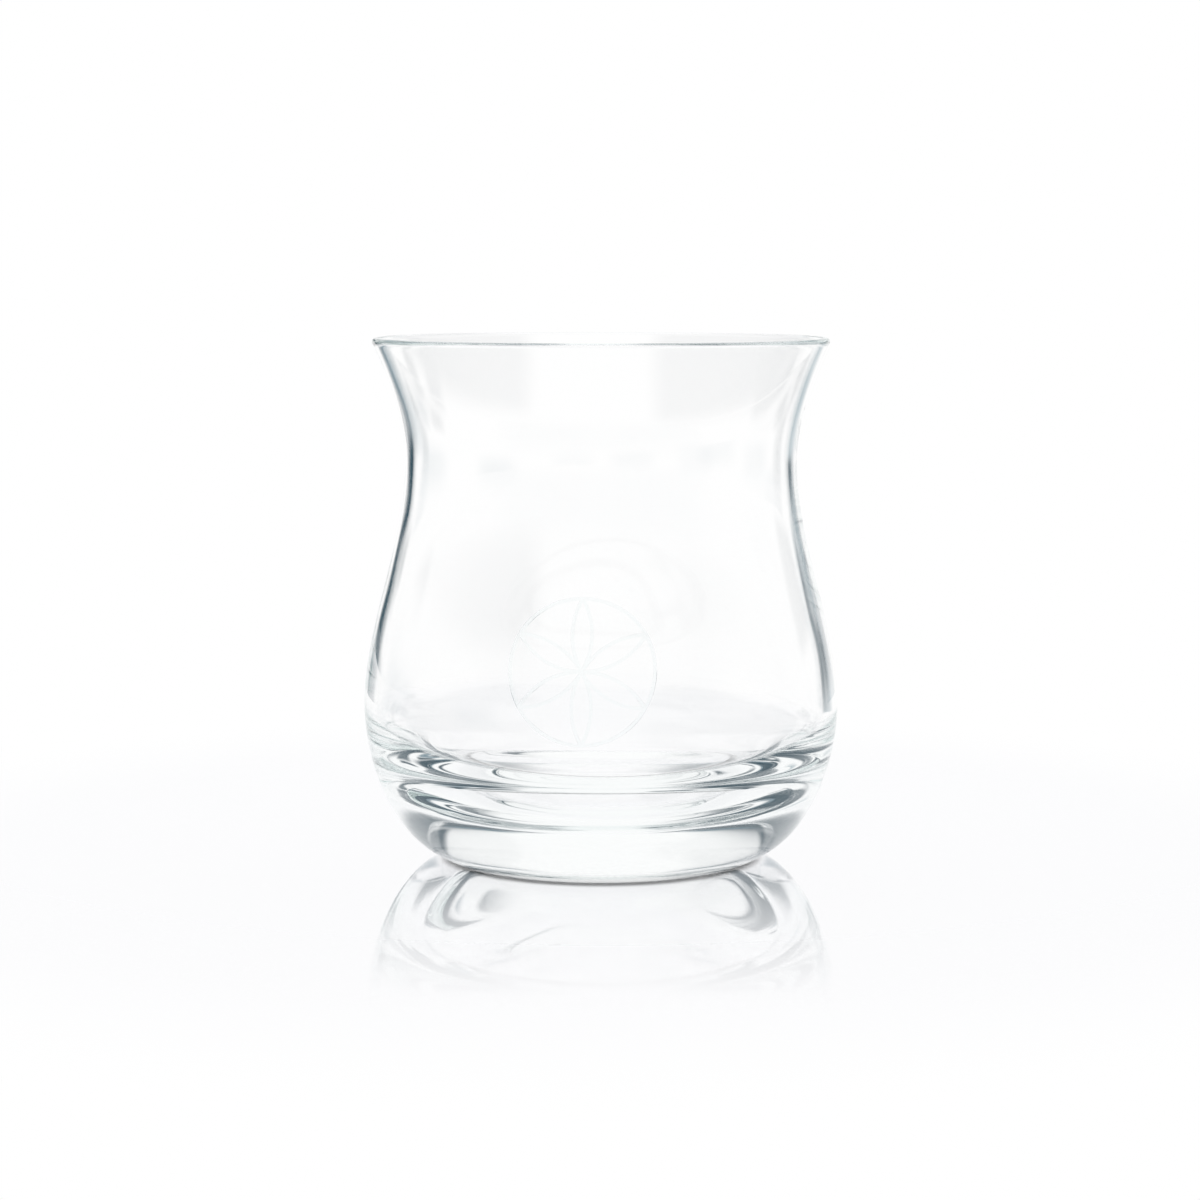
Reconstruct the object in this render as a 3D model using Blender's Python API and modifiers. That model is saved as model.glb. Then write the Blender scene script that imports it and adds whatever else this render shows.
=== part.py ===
# Whisky tumbler: one piece of blown glass that swells above a small foot, draws in at a waist and flares
# to the rim, over a heavy base. A rosette of fired-on enamel sits on its front.
# Lengths are in metres, +Z is up, the glass stands on z = 0 and its front faces -Y.
import math

import bmesh
import bpy
import numpy as np

# Outside of the glass: the radius and height of each station
HEIGHT = 0.0960
RIM_RADIUS = 0.0420
WAIST_RADIUS = 0.0361
WAIST_HEIGHT = 0.0734
BULB_RADIUS = 0.0439
BULB_HEIGHT = 0.0283
FOOT_RADIUS = 0.0287

# Lean of the wall at the rim, out from the upright, and of the belly at the foot, up from the table
RIM_FLARE = math.radians(24.3)
FOOT_RISE = math.radians(19.5)

# How far the outline is pulled along its direction at each station
RIM_PULL = 0.0078
WAIST_PULL_UP = 0.0070
WAIST_PULL_DOWN = 0.0153
BULB_PULL_UP = 0.0146
BULB_PULL_DOWN = 0.0099
FOOT_PULL = 0.0114

# Thickness of the wall, which grows towards the base, and of the base on the axis
RIM_WALL = 0.0014
WAIST_WALL = 0.0015
BULB_WALL = 0.0023
BASE_THICKNESS = 0.0119

# Bottom of the hollow: how far it is pulled down from the bulb and out from the axis
BOWL_PULL_DOWN = 0.0150
BOWL_PULL_OUT = 0.0170

# Underside: a flat ring to stand on, and the shallow hollow inside it
RING_WIDTH = 0.0040
CROWN_HEIGHT = 0.0012
CROWN_PULL_IN = 0.0060
CROWN_PULL_OUT = 0.0120

# Enamel rosette: its place on the front, its size, and the film's thickness and distance from the glass
MARK_HEIGHT = 0.0397
MARK_TURN = math.radians(-4.5)
MARK_RADIUS = 0.0130
MARK_LINE = 0.0006
MARK_FILM = 0.0002
MARK_GAP = 0.0001
MARK_PETALS = 6
MARK_SLICE = 0.0026

# Colours of the clear glass and of the enamel
GLASS_COLOUR = (0.94, 0.98, 0.98)
ENAMEL_COLOUR = (0.92, 0.95, 0.96)

# Fineness of the turned surface and of the rosette's curves
TURN_STEPS = 64
RIM_ROWS = 6
WAIST_ROWS = 9
BELLY_ROWS = 10
BOWL_ROWS = 10
LIP_ROWS = 3
CROWN_ROWS = 4
RING_POINTS = 60
ARC_POINTS = 8
TRACE_ROWS = 200
WELD = 1e-6
SHARP_EDGE = math.radians(40)

OUTWARD = 0.0
UP = math.pi / 2
DOWN = -math.pi / 2
INWARD = math.pi


def toward(point, angle, length):
    """The point that lies a length away from another, at an angle counted from the outward direction."""
    return np.array([point[0] + length * math.cos(angle), point[1] + length * math.sin(angle)])


def cubic(start, start_handle, end_handle, end, rows):
    """Points of a cubic curve between two stations, without its first point."""
    t = np.linspace(0, 1, rows + 1)[1:, None]
    ends = (1 - t) ** 3 * start + t**3 * end
    return ends + 3 * (1 - t) ** 2 * t * start_handle + 3 * (1 - t) * t**2 * end_handle


def lip_points():
    """Inner edge, rounding and outer edge of the lip, whose round top touches the full height."""
    half_wall = RIM_WALL / 2
    centre = np.array([RIM_RADIUS - half_wall, HEIGHT - half_wall])
    inner_round = np.linspace(math.pi - RIM_FLARE, UP, LIP_ROWS + 1)
    outer_round = np.linspace(UP, -RIM_FLARE, LIP_ROWS + 1)[1:]
    return np.array([toward(centre, angle, half_wall) for angle in (*inner_round, *outer_round)])


def wall_side(rim, waist_radius, bulb_radius, rim_rows, waist_rows):
    """One side of the wall, from the lip down past the waist to the widest part of the bulb."""
    waist = np.array([waist_radius, WAIST_HEIGHT])
    bulb = np.array([bulb_radius, BULB_HEIGHT])
    below_rim = toward(rim, DOWN - RIM_FLARE, RIM_PULL)
    above_waist = toward(waist, UP, WAIST_PULL_UP)
    below_waist = toward(waist, DOWN, WAIST_PULL_DOWN)
    above_bulb = toward(bulb, UP, BULB_PULL_UP)
    flare = cubic(rim, below_rim, above_waist, waist, rim_rows)
    swell = cubic(waist, below_waist, above_bulb, bulb, waist_rows)
    return np.concatenate([rim[None], flare, swell])


def outer_side(rim_rows, waist_rows, belly_rows):
    """Outside of the glass from the lip down to the foot."""
    wall = wall_side(lip_points()[-1], WAIST_RADIUS, BULB_RADIUS, rim_rows, waist_rows)
    bulb = wall[-1]
    foot = np.array([FOOT_RADIUS, 0.0])
    below_bulb = toward(bulb, DOWN, BULB_PULL_DOWN)
    above_foot = toward(foot, FOOT_RISE, FOOT_PULL)
    belly = cubic(bulb, below_bulb, above_foot, foot, belly_rows)
    return np.concatenate([wall, belly])


def inner_side():
    """Inside of the glass from the lip down to the bottom of the hollow on the axis."""
    waist_radius = WAIST_RADIUS - WAIST_WALL
    bulb_radius = BULB_RADIUS - BULB_WALL
    wall = wall_side(lip_points()[0], waist_radius, bulb_radius, RIM_ROWS, WAIST_ROWS)
    bulb = wall[-1]
    bottom = np.array([0.0, BASE_THICKNESS])
    below_bulb = toward(bulb, DOWN, BOWL_PULL_DOWN)
    beside_bottom = toward(bottom, OUTWARD, BOWL_PULL_OUT)
    bowl = cubic(bulb, below_bulb, beside_bottom, bottom, BOWL_ROWS)
    return np.concatenate([wall, bowl])


def underside():
    """Inner edge of the standing ring and the shallow hollow up to the axis."""
    ring = np.array([FOOT_RADIUS - RING_WIDTH, 0.0])
    crown = np.array([0.0, CROWN_HEIGHT])
    beside_ring = toward(ring, INWARD, CROWN_PULL_IN)
    beside_crown = toward(crown, OUTWARD, CROWN_PULL_OUT)
    hollow = cubic(ring, beside_ring, beside_crown, crown, CROWN_ROWS)
    return np.concatenate([ring[None], hollow])


def make_material(name, colour, roughness, ior, clearness):
    """A plain see-through material."""
    material = bpy.data.materials.new(name)
    material.use_nodes = True
    shader = material.node_tree.nodes["Principled BSDF"]
    shader.inputs["Base Color"].default_value = (*colour, 1)
    shader.inputs["Metallic"].default_value = 0
    shader.inputs["Roughness"].default_value = roughness
    shader.inputs["IOR"].default_value = ior
    shader.inputs["Transmission Weight"].default_value = clearness
    return material


def make_glass_body(collection):
    """The blown glass, its outline turned about the Z axis."""
    outer = outer_side(RIM_ROWS, WAIST_ROWS, BELLY_ROWS)
    outline = np.concatenate([inner_side()[::-1], lip_points()[1:-1], outer, underside()])
    points = [(radius, 0, height) for radius, height in outline]
    mesh = bpy.data.meshes.new("glass_body")
    mesh.from_pydata(points, [(row, row + 1) for row in range(len(points) - 1)], [])
    glass = make_material("soda_lime_glass", GLASS_COLOUR, roughness=0.02, ior=1.52, clearness=1.0)
    mesh.materials.append(glass)
    body = bpy.data.objects.new("glass_body", mesh)
    collection.objects.link(body)
    turn = body.modifiers.new("turn", "SCREW")
    turn.axis = "Z"
    turn.angle = 2 * math.pi
    turn.screw_offset = 0
    turn.steps = TURN_STEPS
    turn.render_steps = TURN_STEPS
    turn.use_merge_vertices = True
    turn.merge_threshold = WELD
    turn.use_smooth_shade = True
    return body


def arc_between(centre, start, end, points):
    """Points of the shorter arc about a centre, from one point to just before another."""
    radius = math.dist(centre, start)
    first = math.atan2(start[1] - centre[1], start[0] - centre[0])
    last = math.atan2(end[1] - centre[1], end[0] - centre[0])
    sweep = (last - first + math.pi) % (2 * math.pi) - math.pi
    return [toward(centre, first + sweep * step / points, radius) for step in range(points)]


def petal_opening(axis):
    """Clear inside of one petal: two arcs struck from the neighbouring petals' tips."""
    reach = MARK_RADIUS - MARK_LINE / 2
    step = 2 * math.pi / MARK_PETALS
    centre = np.zeros(2)
    left = toward(centre, axis + step, reach)
    right = toward(centre, axis - step, reach)
    across = reach * math.sin(step)
    along = reach * math.cos(step)
    half_length = math.sqrt((reach - MARK_LINE / 2) ** 2 - across**2)
    root = toward(centre, axis, along - half_length)
    tip = toward(centre, axis, along + half_length)
    return arc_between(left, root, tip, ARC_POINTS) + arc_between(right, tip, root, ARC_POINTS)


def corner_opening(axis):
    """Clear space between two petals and the ring."""
    reach = MARK_RADIUS - MARK_LINE / 2
    step = 2 * math.pi / MARK_PETALS
    inside_ring = reach - MARK_LINE / 2
    past_petal = reach + MARK_LINE / 2
    centre = np.zeros(2)
    right = toward(centre, axis - step, reach)
    left = toward(centre, axis + 2 * step, reach)
    middle = axis + step / 2
    root = toward(centre, middle, math.sqrt(past_petal**2 - reach**2))
    spread = math.acos((inside_ring**2 - past_petal**2 + reach**2) / (2 * reach * inside_ring))
    first = toward(centre, axis - step + spread, inside_ring)
    last = toward(centre, axis + 2 * step - spread, inside_ring)
    from_root = arc_between(right, root, first, ARC_POINTS)
    along_ring = arc_between(centre, first, last, ARC_POINTS)
    return from_root + along_ring + arc_between(left, last, root, ARC_POINTS)


def make_flat_rosette():
    """The rosette as a flat film: a disc with openings that leave a ring and the petals' lines."""
    curve = bpy.data.curves.new("flat_rosette", "CURVE")
    curve.dimensions = "2D"
    curve.fill_mode = "BOTH"
    curve.extrude = MARK_FILM / 2
    axes = [math.pi / 2 + 2 * math.pi * petal / MARK_PETALS for petal in range(MARK_PETALS)]
    bearings = [2 * math.pi * point / RING_POINTS for point in range(RING_POINTS)]
    ring = [toward(np.zeros(2), bearing, MARK_RADIUS) for bearing in bearings]
    openings = [petal_opening(axis) for axis in axes] + [corner_opening(axis) for axis in axes]
    for outline in [ring] + openings:
        spline = curve.splines.new("POLY")
        spline.points.add(len(outline) - 1)
        spline.use_cyclic_u = True
        for point, place in zip(spline.points, outline):
            point.co = (place[0], place[1], 0, 1)
    return bpy.data.objects.new("flat_rosette", curve)


def slice_film(work):
    """Cuts the flat film's faces into short lengths both ways, so that they can bend to the glass."""
    slices = math.ceil(2 * MARK_RADIUS / MARK_SLICE)
    for place in np.linspace(-MARK_RADIUS, MARK_RADIUS, slices + 1)[1:-1]:
        for direction in ((1, 0, 0), (0, 1, 0)):
            film = work.verts[:] + work.edges[:] + work.faces[:]
            on_cut = np.multiply(direction, place)
            bmesh.ops.bisect_plane(work, geom=film, dist=WELD, plane_co=on_cut, plane_no=direction)
    bmesh.ops.triangulate(work, faces=work.faces)


def lay_on_front(flat):
    """Places flat points on the glass: x runs round it, y along its outline, z stands off its surface."""
    outline = outer_side(TRACE_ROWS, TRACE_ROWS, TRACE_ROWS)[::-1]
    run = np.concatenate([[0], np.cumsum(np.linalg.norm(np.diff(outline, axis=0), axis=1))])
    slope = np.gradient(outline, axis=0)
    slope /= np.linalg.norm(slope, axis=1)[:, None]
    along = np.interp(MARK_HEIGHT, outline[:, 1], run) + flat[:, 1]
    off = MARK_GAP + MARK_FILM / 2 + flat[:, 2]
    surface_radius = np.interp(along, run, outline[:, 0])
    radius = surface_radius + off * np.interp(along, run, slope[:, 1])
    height = np.interp(along, run, outline[:, 1]) - off * np.interp(along, run, slope[:, 0])
    bearing = MARK_TURN + flat[:, 0] / surface_radius
    return np.stack([radius * np.sin(bearing), -radius * np.cos(bearing), height], axis=1)


def make_front_mark(collection, body):
    """The enamel rosette, bent to the glass and carried by it."""
    flat = make_flat_rosette()
    collection.objects.link(flat)
    evaluated = flat.evaluated_get(bpy.context.evaluated_depsgraph_get())
    mesh = bpy.data.meshes.new_from_object(evaluated)
    bpy.data.objects.remove(flat)
    mesh.name = "front_mark"
    work = bmesh.new()
    work.from_mesh(mesh)
    bmesh.ops.remove_doubles(work, verts=work.verts, dist=WELD)
    slice_film(work)
    bmesh.ops.recalc_face_normals(work, faces=work.faces)
    places = lay_on_front(np.array([vertex.co for vertex in work.verts], dtype=float))
    for vertex, place in zip(work.verts, places):
        vertex.co = place
    work.to_mesh(mesh)
    work.free()
    mesh.materials.clear()
    enamel = make_material("satin_enamel", ENAMEL_COLOUR, roughness=0.45, ior=1.50, clearness=0.6)
    mesh.materials.append(enamel)
    mesh.shade_smooth()
    mesh.set_sharp_from_angle(angle=SHARP_EDGE)
    mark = bpy.data.objects.new("front_mark", mesh)
    collection.objects.link(mark)
    mark.parent = body
    return mark


for leftover in list(bpy.data.objects):
    bpy.data.objects.remove(leftover)
tumbler = bpy.data.collections.new("whisky_tumbler")
bpy.context.scene.collection.children.link(tumbler)
make_front_mark(tumbler, make_glass_body(tumbler))
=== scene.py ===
# Whisky tumbler of blown glass on a white glossy table; dark sheets in a white studio draw its edges
import math

import bpy
import numpy as np
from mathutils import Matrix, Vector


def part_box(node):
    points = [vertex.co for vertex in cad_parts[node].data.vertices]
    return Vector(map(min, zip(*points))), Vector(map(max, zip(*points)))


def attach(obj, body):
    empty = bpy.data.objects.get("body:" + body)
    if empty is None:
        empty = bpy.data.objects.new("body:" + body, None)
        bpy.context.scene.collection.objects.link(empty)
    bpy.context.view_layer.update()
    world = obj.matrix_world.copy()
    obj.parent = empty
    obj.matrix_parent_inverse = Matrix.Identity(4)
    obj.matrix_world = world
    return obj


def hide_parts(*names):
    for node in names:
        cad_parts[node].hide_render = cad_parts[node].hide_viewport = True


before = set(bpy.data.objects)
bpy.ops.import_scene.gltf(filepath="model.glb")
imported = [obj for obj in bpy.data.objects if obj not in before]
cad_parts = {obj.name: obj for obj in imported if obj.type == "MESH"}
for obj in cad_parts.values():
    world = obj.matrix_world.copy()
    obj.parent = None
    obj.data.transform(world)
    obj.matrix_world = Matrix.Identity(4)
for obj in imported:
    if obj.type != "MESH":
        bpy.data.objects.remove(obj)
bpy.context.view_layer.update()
mm = 0.001
print("frame loaded:", sorted(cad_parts))


def linearColour(hexText):
    # sRGB to linear: v / 12.92 for dark values, ((v + 0.055) / 1.055) to the power 2.4 for the rest
    channels = [int(hexText[place:place + 2], 16) / 255 for place in (1, 3, 5)]
    return (*[v / 12.92 if v <= 0.04045 else ((v + 0.055) / 1.055) ** 2.4 for v in channels], 1.0)


def addNode(tree, kind, sockets={}, links={}, **settings):
    # one node with its settings, its sockets' values and the outputs that are linked into it
    node = tree.nodes.new(kind)
    for name, value in settings.items():
        setattr(node, name, value)
    for name, value in sockets.items():
        node.inputs[name].default_value = value
    for name, output in links.items():
        tree.links.new(output, node.inputs[name])
    return node


def newMaterial(name):
    material = bpy.data.materials.new(name)
    material.use_nodes = True
    material.node_tree.nodes.clear()
    return material, material.node_tree


def meshPiece(name, points, faces, material):
    mesh = bpy.data.meshes.new(name)
    mesh.from_pydata(points.tolist(), [], faces)
    mesh.shade_smooth()
    mesh.materials.append(material)
    piece = bpy.data.objects.new(name, mesh)
    bpy.context.scene.collection.objects.link(piece)
    return piece


# Glass
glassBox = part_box("glass_body")
glass = {
    "height": glassBox[1][2],  # these two are the CAD glass's own
    "bulbRadius": glassBox[1][0],
    "bulbHeight": 28.3 * mm,
    "rimRadius": 42.0 * mm,
    "waistRadius": 36.1 * mm,
    "waistHeight": 73.4 * mm,
    "footRadius": 28.7 * mm,
    "rimFlare": math.radians(24.3),  # lean of the wall at the rim, from the upright
    "footRise": math.radians(19.5),  # climb of the belly from the table
    "rimPull": 7.8 * mm,  # how far the outline keeps its direction at each station
    "waistPullUp": 7.0 * mm,
    "waistPullDown": 15.3 * mm,
    "bulbPullUp": 14.6 * mm,
    "bulbPullDown": 9.9 * mm,
    "footPull": 11.4 * mm,
    "rimWall": 1.4 * mm,
    "waistWall": 1.5 * mm,
    "bulbWall": 2.3 * mm,
    "baseThickness": 11.9 * mm,
    "bowlPullDown": 15.0 * mm,
    "bowlPullOut": 17.0 * mm,
    "ringWidth": 4.0 * mm,
    "crownHeight": 1.2 * mm,  # the shallow dome underneath
    "crownPullIn": 6.0 * mm,
    "crownPullOut": 12.0 * mm,
    "turns": 256,  # points round the glass
    "flareRows": 34,
    "swellRows": 50,
    "bellyRows": 70,
    "bowlRows": 80,
    "lipRows": 7,
    "crownRows": 24,
    "wallRipple": 0.006 * mm,  # unevenness of blown glass, off its true surface
    "bowlRipple": 0.012 * mm,
    "bellyRipple": 0.010 * mm,
    "crownRipple": 0.020 * mm,
    "rippleLength": 24 * mm,
    "rippleSpread": (0.6, 2.0),  # shortest and longest wave, as shares of that length
    "rippleLobes": (1, 9),  # fewest waves round the glass, and one more than the most
    "rippleWaves": 14,
    "rippleSeed": 5,
    "calmRadius": 6 * mm,  # the ripples die out this close to the axis
    "calmRows": 5,  # and over this many rows on both sides of each end of the lip
    "hollowShift": 0.6 * mm,  # how far the hollow lies off the axis below the waist, towards the thinner wall
    "ior": 1.52,
    "roughness": 0.0,
    "tint": "#eef6f5",  # the glass absorbs (1 - tint) times the density per metre
    "tintDensity": 3.0,
}


def along(point, angle, length):
    # a point moved by (length cos angle, length sin angle)
    return np.array([point[0] + length * math.cos(angle), point[1] + length * math.sin(angle)])


def curve(start, startPull, endPull, end, rows):
    # cubic Bezier curve: the weights (1-t)^3, 3t(1-t)^2, 3t^2(1-t) and t^3 of its four points
    t = np.linspace(0, 1, rows + 1)[1:, None]
    return (1 - t) ** 3 * start + 3 * t * (1 - t) ** 2 * startPull + 3 * t**2 * (1 - t) * endPull + t**3 * end


def wallSide(form, rim, waistRadius, bulbRadius):
    # one side of the wall: a curve from the lip in to the waist, then a curve out to the bulb
    up, down = math.pi / 2, -math.pi / 2
    waist = np.array([waistRadius, form["waistHeight"]])
    bulb = np.array([bulbRadius, form["bulbHeight"]])
    flare = curve(rim, along(rim, down - form["rimFlare"], form["rimPull"]),
                  along(waist, up, form["waistPullUp"]), waist, form["flareRows"])
    swell = curve(waist, along(waist, down, form["waistPullDown"]),
                  along(bulb, up, form["bulbPullUp"]), bulb, form["swellRows"])
    return np.concatenate([rim[None], flare, swell])


def glassOutline(form):
    # radius and height of the whole section: up the inside from the axis, over the round lip, down the
    # outside and under to the axis again, with the unevenness and the hollow's shift at each point
    down = -math.pi / 2
    half = form["rimWall"] / 2
    centre = np.array([form["rimRadius"] - half, form["height"] - half])
    turn = np.linspace(math.pi - form["rimFlare"], -form["rimFlare"], 2 * form["lipRows"] + 1)
    lip = centre + half * np.stack([np.cos(turn), np.sin(turn)], axis=1)
    lip[:, 1] += form["height"] - lip[:, 1].max()
    inner = wallSide(form, lip[0], form["waistRadius"] - form["waistWall"],
                     form["bulbRadius"] - form["bulbWall"])
    bottom = np.array([0.0, form["baseThickness"]])
    bowl = curve(inner[-1], along(inner[-1], down, form["bowlPullDown"]),
                 along(bottom, 0, form["bowlPullOut"]), bottom, form["bowlRows"])
    outer = wallSide(form, lip[-1], form["waistRadius"], form["bulbRadius"])
    foot = np.array([form["footRadius"], 0.0])
    belly = curve(outer[-1], along(outer[-1], down, form["bulbPullDown"]),
                  along(foot, form["footRise"], form["footPull"]), foot, form["bellyRows"])
    ring = np.array([form["footRadius"] - form["ringWidth"], 0.0])
    crown = np.array([0.0, form["crownHeight"]])
    underside = curve(ring, along(ring, math.pi, form["crownPullIn"]),
                      along(crown, 0, form["crownPullOut"]), crown, form["crownRows"])

    # the unevenness eases off up the inside as a square, swells over the belly as half a sine wave and
    # grows evenly towards the crown
    wall = form["wallRipple"]
    easing = np.linspace(1, 0, len(inner)) ** 2
    swelling = np.sin(np.linspace(0, math.pi, len(belly)))
    stretches = [
        (bowl[::-1], np.full(len(bowl), form["bowlRipple"])),
        (inner[::-1], wall + form["bowlRipple"] * easing),
        (lip[1:-1], np.zeros(len(lip) - 2)),
        (outer, np.full(len(outer), wall)),
        (belly, wall * np.linspace(1, 0, len(belly)) + form["bellyRipple"] * swelling),
        (ring[None], np.zeros(1)),
        (underside, form["crownRipple"] * np.linspace(0, 1, len(underside))),
    ]
    section = np.concatenate([points for points, share in stretches])
    unevenness = np.concatenate([share for points, share in stretches])
    inside, calm = len(bowl) + len(inner), form["calmRows"]
    for lipEnd in (inside - 1, inside + len(lip) - 2):
        unevenness[lipEnd - calm:lipEnd + calm + 1] *= np.abs(np.linspace(-1, 1, 2 * calm + 1))

    # the shift is a squared sine wave from the waist to the bottom, on the inside only
    hollowDepth = form["waistHeight"] - form["baseThickness"]
    depth = np.clip((form["waistHeight"] - section[:, 1]) / hollowDepth, 0, 1)
    shift = form["hollowShift"] * np.sin(depth * math.pi) ** 2
    shift[inside:] = 0
    return section, unevenness, shift


def ripples(form, bearing, run):
    # sum of plane waves round the glass and along its section, each with a whole number of waves round it
    chance = np.random.default_rng(form["rippleSeed"])
    total = np.zeros(np.broadcast(bearing, run).shape)
    for wave in range(form["rippleWaves"]):
        lobes = chance.integers(*form["rippleLobes"])
        pitch = form["rippleLength"] * chance.uniform(*form["rippleSpread"]) * chance.choice([-1, 1])
        total += np.cos(lobes * bearing + 2 * math.pi * run / pitch + chance.uniform(0, 2 * math.pi))
    return total / math.sqrt(form["rippleWaves"] / 2)


def turnedGlass(name, form, material):
    # surface of revolution: (r cos a, r sin a, z) for each point of the section and each bearing a,
    # moved off along the section's normal by the ripples and sideways by the hollow's shift
    section, unevenness, shift = glassOutline(form)
    run = np.concatenate([[0], np.cumsum(np.linalg.norm(np.diff(section, axis=0), axis=1))])
    direction = np.gradient(section, axis=0)
    direction /= np.linalg.norm(direction, axis=1)[:, None]
    bearing = np.linspace(0, 2 * math.pi, form["turns"], endpoint=False)
    near = np.clip(section[:, 0] / form["calmRadius"], 0, 1) ** 2
    off = (unevenness * near)[:, None] * ripples(form, bearing[None, :], run[:, None])
    radius = section[:, :1] - off * direction[:, 1:]
    height = section[:, 1:] + off * direction[:, :1]
    grid = np.stack([radius * np.cos(bearing) - shift[:, None], radius * np.sin(bearing),
                     np.broadcast_to(height, off.shape)], axis=2)

    # the grid's first and last rows are one point each, closed by fans
    rows, turns = len(section) - 2, form["turns"]
    points = np.concatenate([grid[0, :1], grid[1:-1].reshape(-1, 3), grid[-1, :1]])
    row = np.arange(rows - 1)[:, None] * turns + 1
    here = np.arange(turns)[None, :]
    there = (here + 1) % turns
    walls = np.stack([row + here, row + turns + here, row + turns + there, row + there], axis=2)
    last = (rows - 1) * turns + 1
    firstFan = np.stack([np.zeros(turns, int), 1 + here[0], 1 + there[0]], axis=1)
    lastFan = np.stack([last + here[0], np.full(turns, len(points) - 1), last + there[0]], axis=1)
    faces = walls.reshape(-1, 4).tolist() + firstFan.tolist() + lastFan.tolist()
    return meshPiece(name, points, faces, material)


def sodaLimeGlass(finish):
    # soda-lime glass, blown and fire-polished: clear and sharp, faintly green where it is thick
    material, tree = newMaterial("soda_lime_glass")
    clear = addNode(tree, "ShaderNodeBsdfPrincipled", {
        "Base Color": (1, 1, 1, 1), "Roughness": finish["roughness"], "IOR": finish["ior"],
        "Transmission Weight": 1.0})
    tint = addNode(tree, "ShaderNodeVolumeAbsorption", {
        "Color": linearColour(finish["tint"]), "Density": finish["tintDensity"]})
    addNode(tree, "ShaderNodeOutputMaterial", links={"Surface": clear.outputs[0], "Volume": tint.outputs[0]})
    return material


tumbler = turnedGlass("tumbler_glass", glass, sodaLimeGlass(glass))
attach(tumbler, "root")
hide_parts("glass_body")
print("glass turned:", len(tumbler.data.polygons), "faces")

# Front mark
enamel = {
    "colour": "#fbfdfd",
    "roughness": 0.12,
    "ior": 1.1,  # low, so that the mark stays faint
}


def satinEnamel(finish):
    # transparent enamel, printed and fired on: a faint satin frost that scatters what lies behind it
    material, tree = newMaterial("satin_enamel")
    frost = addNode(tree, "ShaderNodeBsdfPrincipled", {
        "Base Color": linearColour(finish["colour"]), "Roughness": finish["roughness"], "IOR": finish["ior"],
        "Transmission Weight": 1.0})
    addNode(tree, "ShaderNodeOutputMaterial", links={"Surface": frost.outputs[0]})
    return material


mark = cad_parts["front_mark"]
mark.data.materials.clear()
mark.data.materials.append(satinEnamel(enamel))
print("front mark finished")

# Table
table = {
    "radius": 275 * mm,
    "points": 128,
    "drop": 0.05 * mm,  # clear of the standing ring
    "colour": "#fdfdfe",
    "glow": 0.85,  # share of the board's white that shines through from below
    "paintedContactShadow": 0.7,  # darkness of the painted contact shadow under the standing ring
    "contactNear": 2.2 * mm,  # how far it falls towards the camera
    "contactInside": (28 * mm, 28.7 * mm),  # radii over which it sets in
    "contactOutside": (27.8 * mm, 30.8 * mm),  # and over which it is gone
    "mirror": 0.9,  # strength of the mirror
    "mirrorFar": 60 * mm,  # it is strongest this far behind the glass
    "mirrorFade": (60 * mm, 190 * mm),  # and weakens over these radii round that place
    "mirrorRoughness": 0.02,
    "mirrorSharp": (42 * mm, 70 * mm),  # seen through the belly it is sharp, until it turns satin here
    "bellyFaces": 2,  # faces of the glass that a ray crosses on its way through the belly
    "shadeFade": (110 * mm, 180 * mm),  # shadow and mirror are shown out to here and gone at the next radius
}


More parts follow.
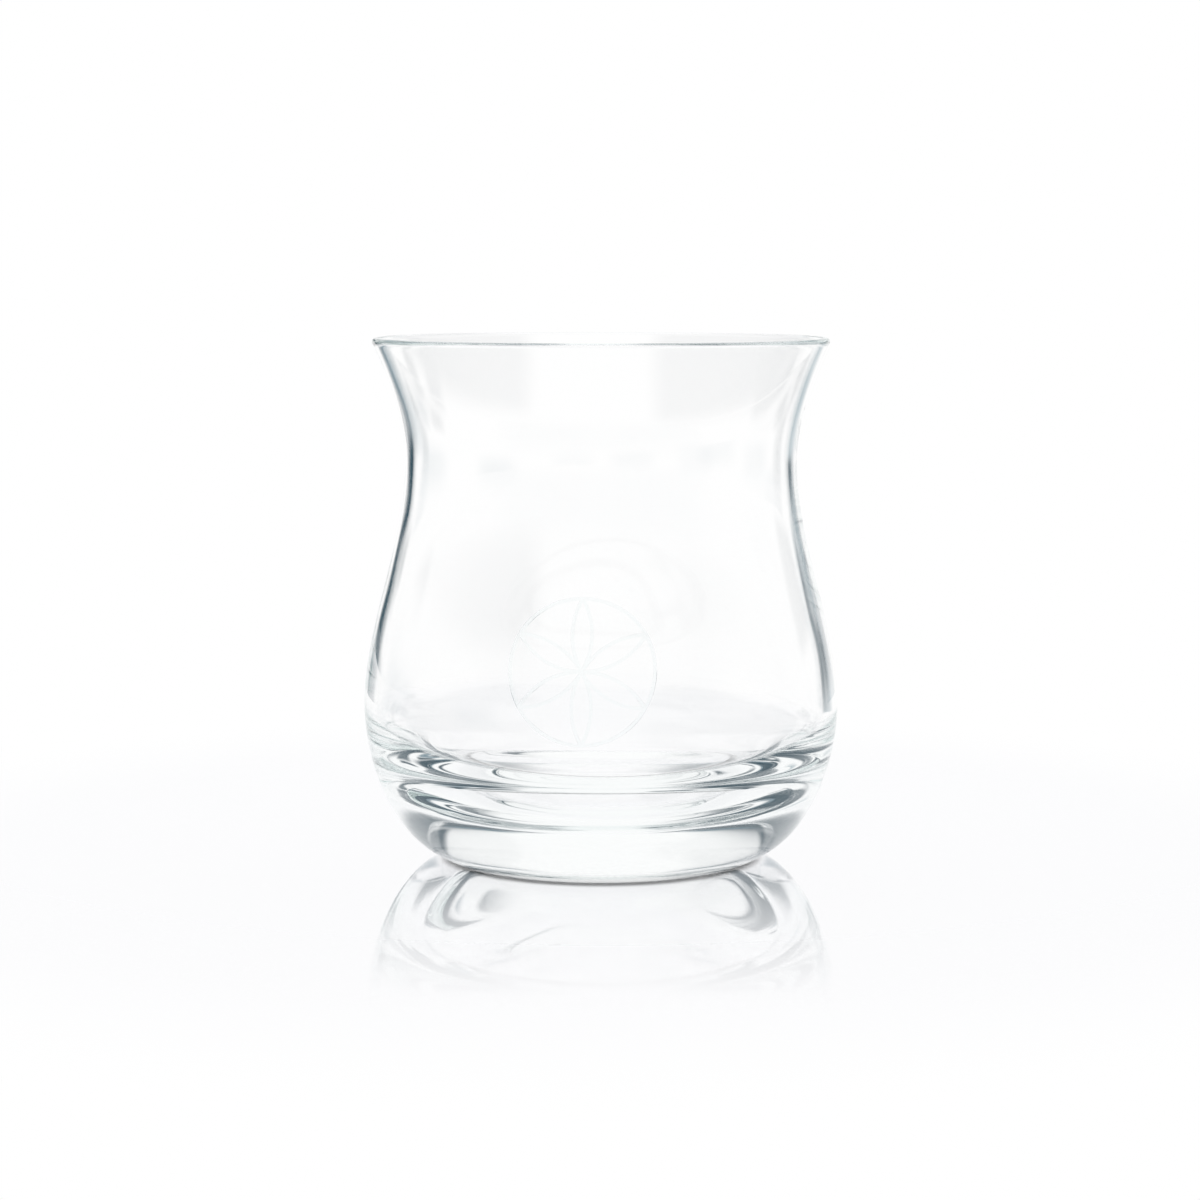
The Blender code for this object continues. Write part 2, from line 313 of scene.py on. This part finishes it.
def whiteTable(values):
    # white acrylic sheet, lit from below: bright, with a painted contact shadow where the glass stands on it,
    # and a mirror that weakens away from the glass
    material, tree = newMaterial("white_acrylic")
    place = addNode(tree, "ShaderNodeTexCoord")
    # smooth steps over named radii: how far behind the axis their centre lies, first value and last value
    steps = {
        "contactInside": (0, 0.0, values["paintedContactShadow"]),
        "contactOutside": (-values["contactNear"], 1.0, 0.0),
        "mirrorSharp": (0, 1.0, 0.0),
        "mirrorFade": (values["mirrorFar"], values["mirror"], 0.0),
        "shadeFade": (0, 0.0, 1.0),
    }
    fade = {}
    for name, (behind, first, last) in steps.items():
        reach = addNode(tree, "ShaderNodeVectorMath", {1: (0, behind, 0)}, {0: place.outputs["Object"]},
                        operation="DISTANCE")
        fade[name] = addNode(tree, "ShaderNodeMapRange", {
            "From Min": values[name][0], "From Max": values[name][1], "To Min": first, "To Max": last},
            {"Value": reach.outputs["Value"]}, interpolation_type="SMOOTHSTEP").outputs[0]

    # painted contact shadow: the table's colour, and with it the board, its glow and both mirrors, is mixed
    # towards black round the standing ring
    paintedShadowMask = addNode(tree, "ShaderNodeMath", links={0: fade["contactInside"], 1: fade["contactOutside"]},
                      operation="MULTIPLY")
    tone = addNode(tree, "ShaderNodeMix", {"A": linearColour(values["colour"]), "B": (0, 0, 0, 1)},
                   {"Factor": paintedShadowMask.outputs[0]}, data_type="RGBA")
    board = addNode(tree, "ShaderNodeBsdfDiffuse", links={"Color": tone.outputs[2]})
    glow = addNode(tree, "ShaderNodeEmission", {"Strength": 1.0}, {"Color": tone.outputs[2]})
    lit = addNode(tree, "ShaderNodeMixShader", {0: values["glow"]}, {1: board.outputs[0], 2: glow.outputs[0]})

    # a satin mirror sees plain white and a sharp one the studio's sheets, which draw the belly's lower edge
    satin = addNode(tree, "ShaderNodeBsdfGlossy", {"Roughness": values["mirrorRoughness"]},
                    {"Color": tone.outputs[2]})
    sharp = addNode(tree, "ShaderNodeBsdfGlossy", {"Roughness": 0.0}, {"Color": tone.outputs[2]})
    ray = addNode(tree, "ShaderNodeLightPath")
    belly = addNode(tree, "ShaderNodeMath", {1: values["bellyFaces"], 2: 0.5},
                    {0: ray.outputs["Transmission Depth"]}, operation="COMPARE")
    clear = addNode(tree, "ShaderNodeMath", links={0: fade["mirrorSharp"], 1: belly.outputs[0]},
                    operation="MULTIPLY")
    mirror = addNode(tree, "ShaderNodeMixShader", links={
        0: clear.outputs[0], 1: satin.outputs[0], 2: sharp.outputs[0]})
    polished = addNode(tree, "ShaderNodeMixShader", links={
        0: fade["mirrorFade"], 1: lit.outputs[0], 2: mirror.outputs[0]})
    bright = addNode(tree, "ShaderNodeEmission", {"Color": (1, 1, 1, 1), "Strength": 1.0})
    whole = addNode(tree, "ShaderNodeMixShader", links={
        0: fade["shadeFade"], 1: polished.outputs[0], 2: bright.outputs[0]})
    addNode(tree, "ShaderNodeOutputMaterial", links={"Surface": whole.outputs[0]})
    return material


# a flat disc: (r cos a, r sin a) for each bearing a
bearing = np.linspace(0, 2 * math.pi, table["points"], endpoint=False)
edge = np.stack([np.cos(bearing), np.sin(bearing), np.zeros(table["points"])], axis=1) * table["radius"]
floor = meshPiece("table", edge - [0, 0, table["drop"]], [list(range(table["points"]))], whiteTable(table))
print("table laid")

# Light
studio = {
    "white": "#ffffff",  # the surround itself
    "flag": "#2b4a57",  # dark sheets that draw the glass's edges
    "grey": "#7d929c",  # weaker ones
    "pale": "#bcc8cd",  # the weakest
    "room": "#e6eaec",  # the room behind the camera, nearly white
    # tone, bearing of the middle, to the right from straight behind the glass, half the width, softness of
    # the upright edges, bottom, top and softness of the level edges, in degrees; a later sheet stands before
    # those above it
    "sheets": [
        ("room", 180, 60, 12, -6, 14, 6),
        ("pale", 108, 9, 8, -19, -8, 6),
        ("pale", 162, 9, 8, -19, -8, 6),
        ("pale", -117, 9, 8, -11, 0, 5),
        ("pale", -64, 9, 8, -11, 0, 4),
        ("pale", 30, 6, 4, -14, -4, 3),
        ("flag", 32, 5, 3, -5, 3, 2),
        ("pale", -40, 9, 5, -15, -8, 3),
        ("grey", -30, 6, 4, -18, -9, 3),
        ("flag", -30, 7, 3, -10, 3.5, 3),
        ("flag", 24, 5, 2, 2, 6, 1.5),
        ("flag", -16, 5, 2, 3, 7, 1.5),
        ("flag", 56, 6, 3, 4, 10, 1.5),
        ("grey", 38, 6, 2, 3, 9, 1.5),
        ("flag", -36, 6, 2, 3, 8, 1.5),
        ("flag", -86, 58, 9, 15, 58, 6),
        ("flag", -63, 8, 3, 10, 28, 3),
        ("flag", 60, 6, 2.5, 12, 34, 3),
        ("flag", 40, 4.5, 2, 10, 17, 1.5),
        ("flag", 80, 52, 9, 19, 56, 6),
        ("grey", -28, 9, 4, 19, 26, 2),
        ("grey", 28, 9, 4, 19, 26, 2),
        ("flag", -46, 9, 1.5, 10.5, 16, 1.5),
    ],
    "bounces": 256,  # with fewer, the rim and the base turn dark
}


def litSurround(light):
    # white all round, with sheets standing in it: a sheet's share is a smooth step in the cosine of the
    # bearing off its middle times two smooth steps in the sine of the height
    world = bpy.data.worlds.new("studio")
    bpy.context.scene.world = world
    world.use_nodes = True
    tree = world.node_tree
    tree.nodes.clear()
    white = linearColour(light["white"])
    place = addNode(tree, "ShaderNodeTexCoord")
    height = addNode(tree, "ShaderNodeSeparateXYZ", links={0: place.outputs["Generated"]}).outputs["Z"]
    flat = addNode(tree, "ShaderNodeVectorMath", {1: (1, 1, 0)}, {0: place.outputs["Generated"]},
                   operation="MULTIPLY")
    heading = addNode(tree, "ShaderNodeVectorMath", links={0: flat.outputs[0]}, operation="NORMALIZE")
    behind = {}
    for tone, *angles in light["sheets"]:
        middle, half, soft, bottom, top, softLevel = np.radians(angles)
        facing = addNode(tree, "ShaderNodeVectorMath", {1: (math.sin(middle), math.cos(middle), 0)},
                         {0: heading.outputs[0]}, operation="DOT_PRODUCT")
        # what each edge is measured in, where it begins and where the sheet is whole
        edges = [
            (facing.outputs["Value"], math.cos(half + soft), math.cos(half - soft)),
            (height, math.sin(top + softLevel), math.sin(top - softLevel)),
            (height, math.sin(bottom - softLevel), math.sin(bottom + softLevel)),
        ]
        sides, over, under = [addNode(
            tree, "ShaderNodeMapRange", {"From Min": begin, "From Max": full}, {"Value": measure},
            interpolation_type="SMOOTHSTEP") for measure, begin, full in edges]
        share = addNode(tree, "ShaderNodeMath", links={0: sides.outputs[0], 1: over.outputs[0]},
                        operation="MULTIPLY")
        share = addNode(tree, "ShaderNodeMath", links={0: share.outputs[0], 1: under.outputs[0]},
                        operation="MULTIPLY")
        sheet = addNode(tree, "ShaderNodeMix", {"A": white, "B": linearColour(light[tone])},
                        {"Factor": share.outputs[0], **behind}, data_type="RGBA")
        behind = {"A": sheet.outputs[2]}

    # the camera, diffuse light and satin mirrors see plain white, so the table is white from every side
    ray = addNode(tree, "ShaderNodeLightPath")
    plainRay = addNode(tree, "ShaderNodeMath", links={
        0: ray.outputs["Is Camera Ray"], 1: ray.outputs["Is Diffuse Ray"]}, operation="MAXIMUM")
    satinRay = addNode(tree, "ShaderNodeMath", links={
        0: ray.outputs["Is Glossy Ray"], 1: ray.outputs["Is Singular Ray"]},
        operation="SUBTRACT", use_clamp=True)
    whiteRay = addNode(tree, "ShaderNodeMath", links={
        0: plainRay.outputs[0], 1: satinRay.outputs[0]}, operation="MAXIMUM")
    shown = addNode(tree, "ShaderNodeMix", {"B": white},
                    {"Factor": whiteRay.outputs[0], **behind}, data_type="RGBA")
    background = addNode(tree, "ShaderNodeBackground", {"Strength": 1.0}, {"Color": shown.outputs[2]})
    addNode(tree, "ShaderNodeOutputWorld", links={"Surface": background.outputs[0]})


litSurround(studio)
cycles = bpy.context.scene.cycles
cycles.max_bounces = studio["bounces"]
cycles.transmission_bounces = studio["bounces"]
cycles.glossy_bounces = studio["bounces"]
bpy.context.scene.view_settings.view_transform = "Standard"
print("studio lit:", len(studio["sheets"]), "sheets")

# Camera
camera = {
    "distance": 567.05 * mm,  # in front of the axis
    "height": 110.52 * mm,
    "side": -0.19 * mm,
    "tilt": math.radians(6.3476),  # down
    "focalPixels": 3076.65,
    "imagePixels": 1200,
    "sensor": 36.0,
    "nearest": 10 * mm,
}
lens = bpy.data.cameras.new("camera")
lens.sensor_width = camera["sensor"]
lens.lens = camera["focalPixels"] / camera["imagePixels"] * camera["sensor"]
lens.clip_start = camera["nearest"]
eye = bpy.data.objects.new("camera", lens)
eye.location = (camera["side"], -camera["distance"], camera["height"])
eye.rotation_euler = (math.pi / 2 - camera["tilt"], 0, 0)
bpy.context.scene.collection.objects.link(eye)
bpy.context.scene.camera = eye
print("camera set")
